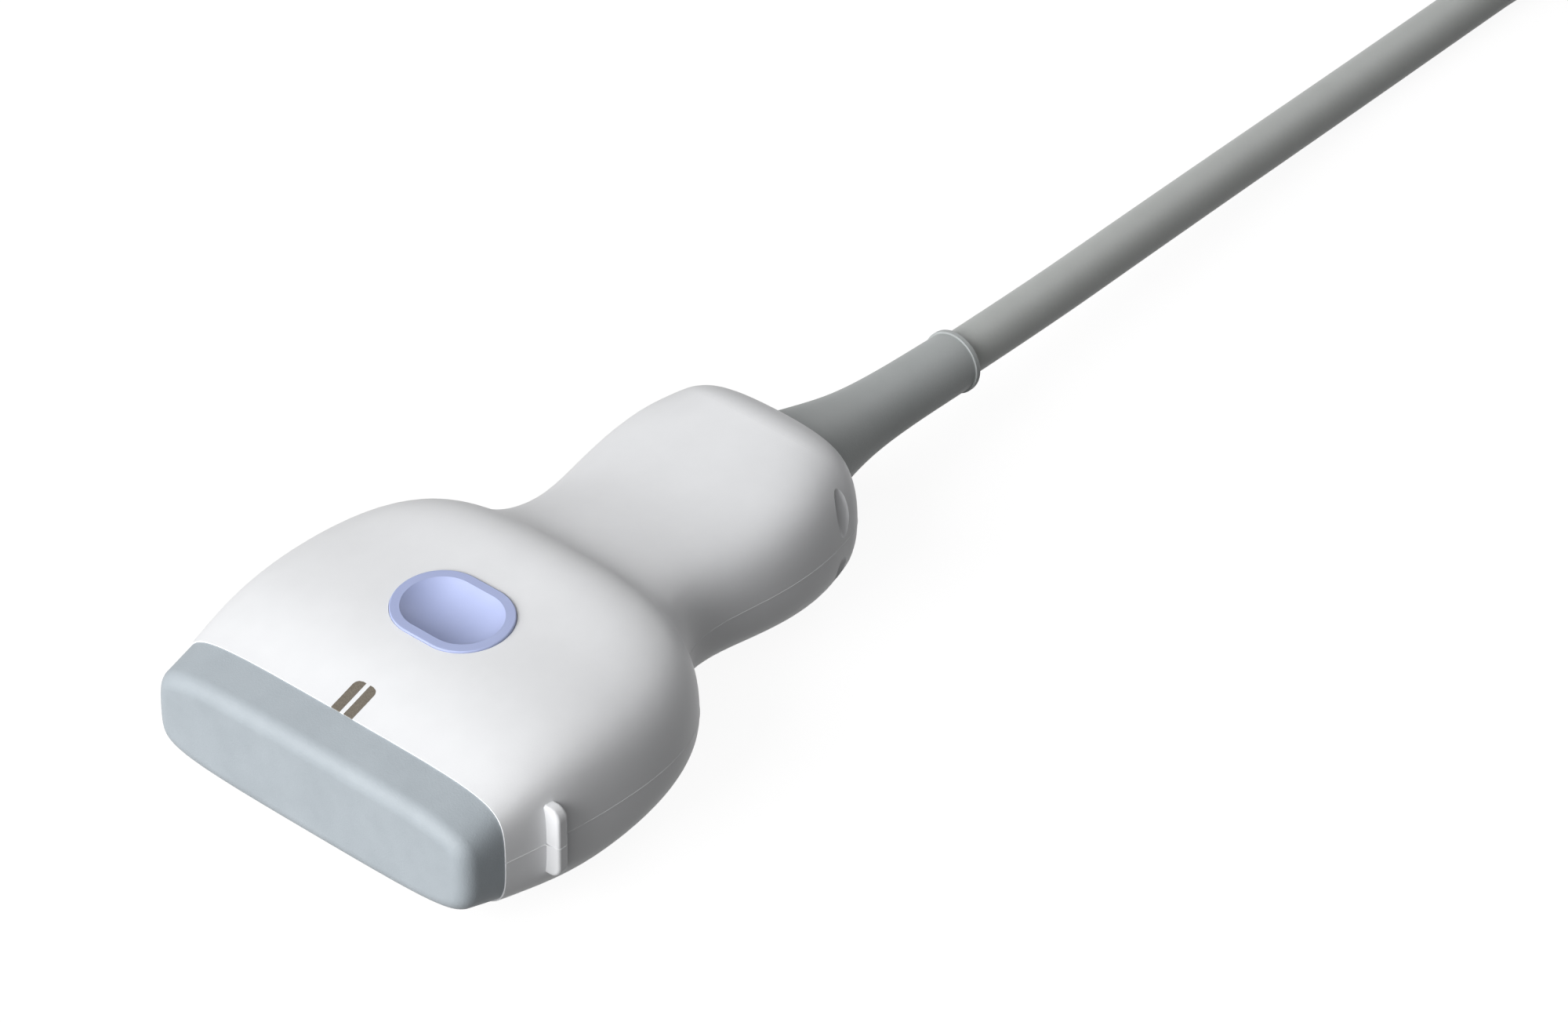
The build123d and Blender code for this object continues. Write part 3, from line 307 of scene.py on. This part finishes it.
# Cast, moulded and extruded rubbers. They are duller than the plastics, and most have
# a powdery sheen at glancing angles. Their grain too is drawn coarser than it is.
rubberLooks = {
    "grey_lens": {  # cast against a sanded mould: a fine pebble on a cool flat grey
        "name": "siliconeCastGrey", "colour": "#a9b1b7", "shade": "#a2aab0", "roughness": 0.5,
        "grain": 0.28, "depth": 0.05, "sheen": 0.0, "specular": 0.35,
    },
    "grey_boot": {  # moulded over the cable: even, with a soft light along its edges
        "name": "elastomerMouldedGrey", "colour": "#b5b9b9", "shade": "#b0b4b4",
        "roughness": 0.5, "grain": 0.28, "depth": 0.03, "sheen": 0.15, "specular": 0.3,
    },
    "cable_jacket": {  # drawn through a die: smooth, with one long highlight
        "name": "vinylExtrudedGrey", "colour": "#c0c3c1", "shade": "#bbbebc", "roughness": 0.45,
        "grain": 0.6, "depth": 0.015, "sheen": 0.1, "specular": 0.3,
    },
    "connector_boot_rubber": {  # darker and drier than the probe's boot
        "name": "elastomerMouldedDarkGrey", "colour": "#6c7072", "shade": "#66696b",
        "roughness": 0.5, "grain": 0.4, "depth": 0.02, "sheen": 0.15, "specular": 0.3,
    },
    "black_seal": {  # black with a bloom of dust on it
        "name": "nitrileMouldedBlack", "colour": "#1b1b1d", "shade": "#161618",
        "roughness": 0.55, "grain": 0.3, "depth": 0.01, "sheen": 0.2, "specular": 0.3,
    },
    "backing_rubber": {  # tungsten powder in the mix makes it chalky and dead flat
        "name": "loadedRubberCastBlack", "colour": "#2c2c2d", "shade": "#242425",
        "roughness": 0.75, "grain": 0.5, "depth": 0.03, "sheen": 0.2, "specular": 0.3,
    },
}
rubberSkin = {
    "patch": 6.0,
    "bump": 0.7,
    "ior": 1.5,
    "sheenRoughness": 0.4,
}


def rubber(look):
    material = startMaterial(look["name"])
    place = addNode(material, "ShaderNodeTexCoord").outputs["Object"]
    patches = addNode(
        material, "ShaderNodeTexNoise", None,
        {"Vector": place, "Scale": perMetre(rubberSkin["patch"]), "Detail": 4.0, "Roughness": 0.6},
    )
    grain = addNode(
        material, "ShaderNodeTexNoise", None,
        {"Vector": place, "Scale": perMetre(look["grain"]), "Detail": 3.0, "Roughness": 0.65},
    )
    bump = addNode(
        material, "ShaderNodeBump", None,
        {"Height": grain.outputs["Fac"], "Strength": rubberSkin["bump"],
         "Distance": look["depth"] * mm},
    )
    shader = addNode(
        material, "ShaderNodeBsdfPrincipled", None,
        {"Base Color": twoTones(material, look, patches.outputs["Fac"]),
         "Roughness": look["roughness"], "Normal": bump.outputs["Normal"],
         "IOR": rubberSkin["ior"], "Specular IOR Level": look["specular"],
         "Sheen Weight": look["sheen"], "Sheen Roughness": rubberSkin["sheenRoughness"]},
    )
    return endMaterial(material, shader)


# Metals, with the fine lines that rolling, turning or cutting leaves. The lines run
# along the axes whose stretch is small. Real ones are some hundredths of a millimetre
# apart, and these are drawn wider so that they show.
metalLooks = {
    "shield_steel": {  # tin over rolled steel: soft grey with a blurred shine
        "name": "tinnedSteelRolled", "colour": "#c4c5c3", "shade": "#b7b8b6", "roughness": 0.34,
        "line": 0.2, "stretch": (0.03, 1.0, 1.0),
    },
    "screw_steel": {  # cut bright, so it glints
        "name": "stainlessMachined", "colour": "#bcbdbe", "shade": "#aeafb1",
        "roughness": 0.28, "line": 0.15, "stretch": (1.0, 1.0, 0.05),
    },
    "shaft_steel": {  # turned between centres: rings round it and a clear highlight
        "name": "stainlessTurned", "colour": "#bdbec0", "shade": "#b0b1b4", "roughness": 0.24,
        "line": 0.12, "stretch": (1.0, 0.05, 0.05),
    },
    "spreader_aluminium": {  # mill-finish sheet: pale, with a broad silky shine
        "name": "aluminiumRolledSheet", "colour": "#d0d2d4", "shade": "#c5c7ca",
        "roughness": 0.36, "line": 0.2, "stretch": (1.0, 1.0, 0.03),
    },
    "bush_brass": {  # warm yellow rings from the lathe
        "name": "brassTurned", "colour": "#d9b870", "shade": "#cfa95d", "roughness": 0.28,
        "line": 0.12, "stretch": (1.0, 0.05, 0.05),
    },
    "ferrule_copper": {  # pressed tube, a little darkened
        "name": "copperCrimped", "colour": "#d79a78", "shade": "#c98a67", "roughness": 0.34,
        "line": 0.2, "stretch": (0.1, 1.0, 1.0),
    },
    "contact_gold": {  # plating over polished bronze: rich and nearly mirror-like
        "name": "goldPlatedBronze", "colour": "#e8c476", "shade": "#dfb866", "roughness": 0.22,
        "line": 0.1, "stretch": (1.0, 1.0, 1.0),
    },
}
metalSkin = {
    "roughnessSwing": 0.07,
    "bump": 0.3,
    "depth": 0.005,
}


def metal(look):
    swing = metalSkin["roughnessSwing"]
    material = startMaterial(look["name"])
    place = addNode(material, "ShaderNodeTexCoord").outputs["Object"]
    drawn = addNode(
        material, "ShaderNodeMapping", None, {"Vector": place, "Scale": look["stretch"]}
    )
    lines = addNode(
        material, "ShaderNodeTexNoise", None,
        {"Vector": drawn.outputs["Vector"], "Scale": perMetre(look["line"]), "Detail": 3.0},
    )
    roughness = addNode(
        material, "ShaderNodeMapRange", None,
        {"Value": lines.outputs["Fac"], "To Min": look["roughness"] - swing,
         "To Max": look["roughness"] + swing},
    )
    bump = addNode(
        material, "ShaderNodeBump", None,
        {"Height": lines.outputs["Fac"], "Strength": metalSkin["bump"],
         "Distance": metalSkin["depth"] * mm},
    )
    shader = addNode(
        material, "ShaderNodeBsdfPrincipled", None,
        {"Base Color": twoTones(material, look, lines.outputs["Fac"]), "Metallic": 1.0,
         "Roughness": roughness.outputs["Result"], "Normal": bump.outputs["Normal"]},
    )
    return endMaterial(material, shader)


# Layered, woven and bundled things, each with its own repeat
layeredLooks = {
    "tie_strap": {  # hooks and loops soak up the light between dark ribs
        "name": "nylonWovenStrap", "colour": "#3a3b3e", "shade": "#202124", "roughness": 0.8,
        "repeat": 0.7, "along": "X",
    },
    "flex_polyimide": {  # amber film with copper tracks under it
        "name": "polyimideLaminatedFilm", "colour": "#c07b2c", "shade": "#8d5416",
        "roughness": 0.3, "repeat": 0.8, "along": "Y",
    },
    "piezo_ceramic": {  # fired and sawn: biscuit coloured, striped about as its elements are
        "name": "piezoFiredCeramic", "colour": "#cfc39d", "shade": "#bcae86", "roughness": 0.6,
        "repeat": 0.67, "along": "Y",
    },
    "matching_resin": {  # ground flat, with a faint drag of the wheel
        "name": "epoxyFilledGround", "colour": "#a0927c", "shade": "#968770", "roughness": 0.5,
        "repeat": 0.5, "along": "Y",
    },
    "core_bundle": {  # hair-thin coaxial wires side by side, pale and glossy
        "name": "microCoaxBundled", "colour": "#dcd4c6", "shade": "#a89e8e", "roughness": 0.45,
        "repeat": 0.5, "along": "Y",
    },
    "board_green": {  # solder mask over copper: glossy green with darker gaps
        "name": "glassEpoxyMaskCoated", "colour": "#1d6a3c", "shade": "#14522d",
        "roughness": 0.3, "repeat": 1.2, "along": "Y",
    },
}
layeredSkin = {
    "waveUnit": 0.314,  # a wave of scale 1 repeats at this distance
    "wander": 0.6,
    "bump": 0.5,
    "depth": 0.03,
}


def layered(look):
    material = startMaterial(look["name"])
    place = addNode(material, "ShaderNodeTexCoord").outputs["Object"]
    stripes = addNode(
        material, "ShaderNodeTexWave", {"bands_direction": look["along"]},
        {"Vector": place, "Scale": layeredSkin["waveUnit"] * perMetre(look["repeat"]),
         "Distortion": layeredSkin["wander"], "Detail": 2.0, "Detail Scale": 2.0},
    )
    bump = addNode(
        material, "ShaderNodeBump", None,
        {"Height": stripes.outputs["Fac"], "Strength": layeredSkin["bump"],
         "Distance": layeredSkin["depth"] * mm},
    )
    shader = addNode(
        material, "ShaderNodeBsdfPrincipled", None,
        {"Base Color": twoTones(material, look, stripes.outputs["Fac"]),
         "Roughness": look["roughness"], "Normal": bump.outputs["Normal"]},
    )
    return endMaterial(material, shader)


finishes = {}
for looks, make in (
    (mouldedLooks, mouldedPlastic),
    (rubberLooks, rubber),
    (metalLooks, metal),
    (layeredLooks, layered),
):
    for slotName, look in looks.items():
        finishes[slotName] = make(look)
print("materials made:", len(finishes))

# Every CAD node that shows takes the finish of its slot.
slotOfNode = {entry["node"]: entry["material_slot"] for entry in frame["record"]["subparts"]}
for nodeName, node in frame["nodes"].items():
    finish = finishes[slotOfNode[nodeName]]
    for materialSlot in node.material_slots:
        materialSlot.material = finish
cablePiece.data.materials.append(finishes["cable_jacket"])
print("nodes dressed:", len(frame["nodes"]))

feelFrom = 60.0  # rays that feel for the housing's surface start this far out
sideNames = {1: "left", -1: "right"}  # facing the cable, +Y is on the left


def addPiece(name, mesh, finish):
    data = bpy.data.meshes.new(name)
    mesh.to_mesh(data)
    mesh.free()
    data.materials.append(finish)
    piece = bpy.data.objects.new(name, data)
    bpy.context.scene.collection.objects.link(piece)
    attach(piece, "probe")
    return piece


# The two printed bars that mark the middle of the array on the crown
centreMark = {
    "start": 0.02,  # behind the lens joint
    "lipDepth": 0.15,  # the ink runs over the joint's lip
    "length": 4.85,
    "width": 1.5,
    "gap": 0.65,
    "corner": 1.0,
    "lift": 0.012,
    "colour": "#7b7367",
    "shade": "#575148",
    "speck": 0.16,
    "roughness": 0.55,
    "ior": 1.48,
    "rows": 28,
    "columns": 8,
}


def printedInk():
    # Pad-printed ink: flat and a little duller than the plastic, with pale specks in it
    material = startMaterial("inkPadPrinted")
    place = addNode(material, "ShaderNodeTexCoord").outputs["Object"]
    specks = addNode(
        material, "ShaderNodeTexNoise", None,
        {"Vector": place, "Scale": perMetre(centreMark["speck"]), "Detail": 3.0, "Roughness": 0.7},
    )
    shader = addNode(
        material, "ShaderNodeBsdfPrincipled", None,
        {"Base Color": twoTones(material, centreMark, specks.outputs["Fac"]),
         "Roughness": centreMark["roughness"], "IOR": centreMark["ior"]},
    )
    return endMaterial(material, shader)


def makeCentreMark(side, ink):
    shell = frame["nodes"]["upper_shell"]
    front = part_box("upper_shell")[0].x
    lift = centreMark["lift"] * mm
    corner = centreMark["corner"]
    mesh = bmesh.new()
    grid = []
    for row in range(centreMark["rows"] + 1):
        along = centreMark["length"] * row / centreMark["rows"]
        into = max(along - (centreMark["length"] - corner), 0.0)  # into the rounded end
        breadth = centreMark["width"] - corner + math.sqrt(corner**2 - into**2)
        line = []
        for column in range(centreMark["columns"] + 1):
            across = side * (centreMark["gap"] / 2 + breadth * column / centreMark["columns"])
            above = Vector((front + (centreMark["start"] + along) * mm, across * mm, feelFrom * mm))
            place, normal = shell.ray_cast(above, Vector((0, 0, -1)))[1:3]
            line.append(mesh.verts.new(place + normal * lift))
        grid.append(line)
    # Two more rows take the ink over the edge and down the lip.
    edge = [mesh.verts.new((front - lift, vertex.co.y, vertex.co.z)) for vertex in grid[0]]
    drop = Vector((0, 0, centreMark["lipDepth"] * mm))
    foot = [mesh.verts.new(vertex.co - drop) for vertex in edge]
    grid = [foot, edge] + grid
    for near, far in zip(grid, grid[1:]):
        for column in range(centreMark["columns"]):
            corners = [near[column], far[column], far[column + 1], near[column + 1]]
            mesh.faces.new(corners if side > 0 else corners[::-1])
    piece = addPiece("centre_mark_" + sideNames[side], mesh, ink)
    piece.data.shade_smooth()


inkFinish = printedInk()
for side in sideNames:
    makeCentreMark(side, inkFinish)
print("centre mark printed")

# The weld between the two shells leaves a raised hairline along each side.
seamLine = {
    "height": 12.1,  # the parting plane over the floor
    "halfWidth": 0.08,
    "proud": 0.05,
    "feelOver": 0.06,  # the upper shell is felt for just over the parting plane
    "step": 0.3,
    "frontStop": 0.1,
    "rearStop": 1.2,
}


def makeSeamLine(side):
    # A low roof along the surface, closed underneath and at both ends
    shell = frame["nodes"]["upper_shell"]
    low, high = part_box("upper_shell")
    start = low.x + seamLine["frontStop"] * mm
    end = high.x - seamLine["rearStop"] * mm
    count = round((end - start) / (seamLine["step"] * mm))
    middle = seamLine["height"] * mm
    up = Vector((0, 0, seamLine["halfWidth"] * mm))
    mesh = bmesh.new()
    rows = []
    for index in range(count + 1):
        along = start + (end - start) * index / count
        beside = Vector((along, side * feelFrom * mm, middle + seamLine["feelOver"] * mm))
        place, normal = shell.ray_cast(beside, Vector((0, -side, 0)))[1:3]
        flat = Vector((place.x, place.y, middle))
        out = Vector((normal.x, normal.y, 0)).normalized() * seamLine["proud"] * mm
        rows.append([mesh.verts.new(point) for point in (flat + up, flat + out, flat - up)])
    for near, far in zip(rows, rows[1:]):
        for index in range(3):
            after = (index + 1) % 3
            mesh.faces.new([near[index], near[after], far[after], far[index]])
    mesh.faces.new(rows[0])
    mesh.faces.new(rows[-1])
    bmesh.ops.recalc_face_normals(mesh, faces=mesh.faces[:])
    piece = addPiece("seam_line_" + sideNames[side], mesh, finishes["white_housing"])


for side in sideNames:
    makeSeamLine(side)
print("seam lines drawn")

# Stage: a grey painted floor that the camera sees as white, a world that shows white
# but throws no light, and three soft lamps, which all point at the origin
stage = {
    "floorSize": 8000.0,
    "floorDrop": 0.05,  # under the belly, so that the two don't fight for the same place
    "floorTone": "#464646",  # what the floor throws back at the probe
    "floorGlow": 0.925,  # 1 is white
    "shadowTone": "#696969",  # the lighter it is, the more the shadow shows on the white
}
lamps = {
    "key": {"place": (-1270, 340, 720), "size": 1500, "power": 33.0},  # power in watts
    "side": {"place": (-1064, -614, 860), "size": 1200, "power": 6.5},
    "back": {"place": (1299, 0, 750), "size": 1200, "power": 5.0},
}


def backgroundSeen(material):
    # 1 for the rays that show the background itself, 0 for those that light the probe
    rays = addNode(material, "ShaderNodeLightPath").outputs
    cameraOrGloss = addNode(
        material, "ShaderNodeMath", {"operation": "MAXIMUM"},
        {0: rays["Is Camera Ray"], 1: rays["Is Glossy Ray"]},
    )
    either = addNode(
        material, "ShaderNodeMath", {"operation": "MAXIMUM"},
        {0: cameraOrGloss.outputs[0], 1: rays["Is Transmission Ray"]},
    )
    return either.outputs[0]


def paintedFloor():
    # Matt emulsion paint: no shine at all, so nothing mirrors in it
    material = startMaterial("emulsionPaintedFloor")
    paint = addNode(
        material, "ShaderNodeBsdfDiffuse", None, {"Color": toLinear(stage["floorTone"])}
    )
    shadowPaint = addNode(
        material, "ShaderNodeBsdfDiffuse", None, {"Color": toLinear(stage["shadowTone"])}
    )
    glow = addNode(material, "ShaderNodeEmission", None, {"Strength": stage["floorGlow"]})
    shown = addNode(
        material, "ShaderNodeAddShader", None,
        {0: shadowPaint.outputs[0], 1: glow.outputs[0]},
    )
    mixed = addNode(
        material, "ShaderNodeMixShader", None,
        {0: backgroundSeen(material), 1: paint.outputs[0], 2: shown.outputs[0]},
    )
    return endMaterial(material, mixed)


def makeFloor():
    mesh = bmesh.new()
    bmesh.ops.create_grid(mesh, x_segments=1, y_segments=1, size=stage["floorSize"] * mm / 2)
    data = bpy.data.meshes.new("floor")
    mesh.to_mesh(data)
    mesh.free()
    data.materials.append(paintedFloor())
    floor = bpy.data.objects.new("floor", data)
    floor.location.z = -stage["floorDrop"] * mm
    bpy.context.scene.collection.objects.link(floor)


def makeWorld():
    world = bpy.data.worlds.new("studio")
    bpy.context.scene.world = world
    world.use_nodes = True
    world.node_tree.nodes.clear()
    white = addNode(
        world, "ShaderNodeBackground", None,
        {"Color": (1.0, 1.0, 1.0, 1.0), "Strength": backgroundSeen(world)},
    )
    addNode(world, "ShaderNodeOutputWorld", None, {"Surface": white.outputs[0]})


def makeLamp(name, lamp):
    data = bpy.data.lights.new(name, "AREA")
    data.shape = "DISK"
    data.size = lamp["size"] * mm
    data.energy = lamp["power"]
    piece = bpy.data.objects.new(name, data)
    place = Vector(lamp["place"]) * mm
    turn = (-place).to_track_quat("-Z", "Y").to_matrix().to_4x4()
    piece.matrix_world = Matrix.Translation(place) @ turn
    bpy.context.scene.collection.objects.link(piece)


makeFloor()
makeWorld()
for name, lamp in lamps.items():
    makeLamp(name, lamp)
bpy.context.scene.view_settings.view_transform = "Standard"
print("stage lit")
